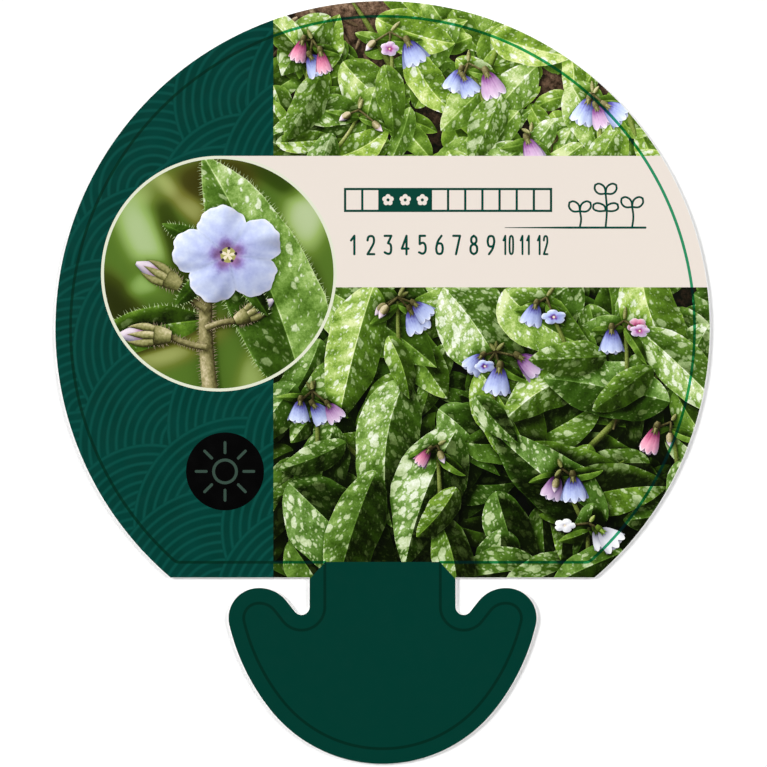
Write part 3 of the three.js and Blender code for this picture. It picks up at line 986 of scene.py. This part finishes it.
hits = [lookup.find_nearest((x, y, 0.0)) for x, y in verts[tris].mean(1).tolist()]
tris = tris[[hit[3] < OFF_SHEET for hit in hits]]
looks = [seen[hit[2]] for hit in hits if hit[3] < OFF_SHEET]
top, trim = np.array([over for over, _ in looks]), np.array([lined for _, lined in looks], float)

# What shade() looks through, gathered once, and then the light and the inner places of every face
cast_orders = np.array([c[0] for c in casters])
cast_boxes = np.array([c[4:] for c in casters])
place, tone, seed = np.zeros((len(tris), 3, 3)), np.zeros((len(tris), 3, 3)), np.zeros((len(tris), 3))
for j in np.unique(top):
    if not printed[j]["paint"]:
        continue
    mine = top == j
    used, back = np.unique(tris[mine], return_inverse=True)
    where, light, second, third, seeded = printed[j]["paint"](verts[used])
    ground = j if printed[j]["within"] is None else printed[j]["within"]
    light = light * shade(verts[used], j, ground)
    back = back.reshape(-1, 3)
    place[mine] = where[back]
    tone[mine] = np.stack(np.broadcast_arrays(light, second, third), 1)[back]
    seed[mine] = seeded

# The rim: from the printed face over the rounded edge, down the cut and under to the bare back.
# Each ring follows the front's outline, moved out along the mean of the two sides at each corner.
MM = 0.001
uses = {(a, b) for tri in tris.tolist() for a, b in zip(tri, tri[1:] + tri[:1])}
follow = {a: b for a, b in uses if (b, a) not in uses}
loop = [min(follow)]
while len(loop) < len(follow):
    loop.append(follow[loop[-1]])
rim = verts[loop]
way = np.roll(rim, -1, 0) - rim
out = np.stack([way[:, 1], -way[:, 0]], 1) / np.hypot(*way.T)[:, None]
both = out + np.roll(out, 1, 0)
out = both / (both * out).sum(1)[:, None]
levels = [np.c_[verts, np.full(len(verts), THICK)]]
for angle in (30, 60, 90, 90, 120, 150, 180):
    drop = EDGE_ROUND * (1 - abs(math.cos(math.radians(angle))))
    height = THICK - drop if len(levels) < 4 else drop
    moved = rim + out * EDGE_ROUND * math.sin(math.radians(angle))
    levels.append(np.c_[moved, np.full(len(rim), height)])
MIDDLE = (FOOT_DEPTH - HEAD_RADIUS) / 2
coords = np.concatenate(levels) + (0, MIDDLE, 0)
n, r = len(verts), len(rim)
rings = [loop] + [list(range(n + i * r, n + (i + 1) * r)) for i in range(len(levels) - 1)]
walls = []
for upper, lower in zip(rings, rings[1:]):
    walls += [(upper[i], lower[i], lower[(i + 1) % r], upper[(i + 1) % r]) for i in range(r)]
back_face = [tuple(reversed(rings[-1]))]
mesh = bpy.data.meshes.new("plant_label")
mesh.from_pydata((coords * MM).tolist(), [], tris.tolist() + walls + back_face)
names = list(materials)
for name in names:
    mesh.materials.append(materials[name])
which = [names.index(printed[j]["ink"]) for j in top] + [names.index("white")] * (len(walls) + 1)
mesh.polygons.foreach_set("material_index", which)
rest = len(mesh.loops) - 3 * len(tris)
for name, values in (("place", place), ("tone", tone)):
    data = np.concatenate([values.reshape(-1, 3), np.zeros((rest, 3))])
    mesh.attributes.new(name, "FLOAT_VECTOR", "CORNER").data.foreach_set("vector", data.ravel())
for name, values in (("seed", seed), ("trim", np.repeat(trim, 3))):
    data = np.concatenate([values.ravel(), np.zeros(rest)])
    mesh.attributes.new(name, "FLOAT", "CORNER").data.foreach_set("value", data)

# A map for baking the inks: the front fills most of it, 98.9 mm to its side, with the rim in a strip
# along its right edge and the back, small, below that
MAP_SIDE, MAP_MARGIN, MAP_END = 98.9, 0.5, 0.995
EDGE_LEFT, RIM_LOW, BACK_LOW, BACK_SCALE = 0.868, 0.16, 0.01, 0.0013
lows = np.array([-HEAD_RADIUS, -FOOT_DEPTH + MIDDLE])
front_map = (coords[tris.ravel(), :2] - lows + MAP_MARGIN) / MAP_SIDE
strips = np.linspace(MAP_END, EDGE_LEFT, len(rings))
up = np.linspace(RIM_LOW, MAP_END, r + 1)
rim_map = [[(right, low), (left, low), (left, high), (right, high)]
           for right, left in zip(strips, strips[1:]) for low, high in zip(up, up[1:])]
back_map = (coords[list(back_face[0]), :2] - lows) * BACK_SCALE + (EDGE_LEFT, BACK_LOW)
uvs = np.concatenate([front_map, np.reshape(rim_map, (-1, 2)), back_map])
mesh.uv_layers.new(name="OFBake").data.foreach_set("uv", uvs.ravel())
mesh.validate()
label = bpy.data.objects.new("plant_label", mesh)
bpy.context.scene.collection.objects.link(label)
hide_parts("label_sheet")
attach(label, "root")

# The floor under the label: plain matt paper, whose fibres only just show
bpy.ops.mesh.primitive_plane_add(size=4)
floor = bpy.context.object
floor.name = "floor"
floor.location.z = -0.05 * MM
tree = new_tree("floor", "_matt_paper")
where = add(tree, "TexCoord").outputs["Object"]
fibre = add(tree, "TexNoise", {"Vector": where, "Scale": 300.0, "Detail": 3.0})
paper = add(tree, "ValToRGB", {0: fibre}, stops=[(0.3, "#f7f7f7"), (0.7, "#f9f9f9")])
shader = add(tree, "BsdfPrincipled", {"Base Color": paper, "Roughness": 0.9})
add(tree, "OutputMaterial", {"Surface": shader})
floor.data.materials.append(materials["floor"])

# A wide soft key light from the left and a weaker one from the right, both too high to glare on the
# varnish from the side and too low to glare straight up, in a room with pale walls and a dark ceiling
LAMPS = (("key", 160, 42, 2.96, 24), ("fill", 20, 42, 1.99, 30))    # degrees round, up, strength, spread
for name, turn, rise, strength, spread in LAMPS:
    lamp = bpy.data.lights.new(name, "SUN")
    lamp.energy = strength
    lamp.angle = math.radians(spread)
    made = bpy.data.objects.new(name, lamp)
    level = polar(math.cos(math.radians(rise)), math.radians(turn))
    aim = Vector((*level, math.sin(math.radians(rise))))
    made.rotation_euler = aim.to_track_quat("Z", "Y").to_euler()
    bpy.context.scene.collection.objects.link(made)
world = bpy.data.worlds.new("room")
world.use_nodes = True
room = world.node_tree
height = add(room, "SeparateXYZ", {0: add(room, "TexCoord")})
walls = add(room, "ValToRGB", {0: height.outputs["Z"]}, stops=[
    (0.0, "#ffffff"), (1.0, "#1c1c1c"), (0.13, "#ebebeb"), (0.24, "#a0a0a0"), (0.4, "#606060"),
    (0.7, "#303030")])
room.links.new(walls.outputs[0], room.nodes["Background"].inputs[0])
bpy.context.scene.world = world
bpy.context.scene.view_settings.view_transform = "Standard"

# The camera: straight above, as the proof was drawn, and far enough off to show it almost flat
PHOTO_SIDE, PIXEL = 767, 0.1282              # pixels, and mm that one pixel shows on the print
AIM = (0.12, -0.13)                          # mm from the middle of the label's box
camera = bpy.data.cameras.new("camera")
camera.lens = 100
camera.sensor_width = 36
shot = bpy.data.objects.new("camera", camera)
distance = PHOTO_SIDE * PIXEL * camera.lens / camera.sensor_width
shot.location = Vector((*AIM, THICK + distance)) * MM
bpy.context.scene.collection.objects.link(shot)
bpy.context.scene.camera = shot
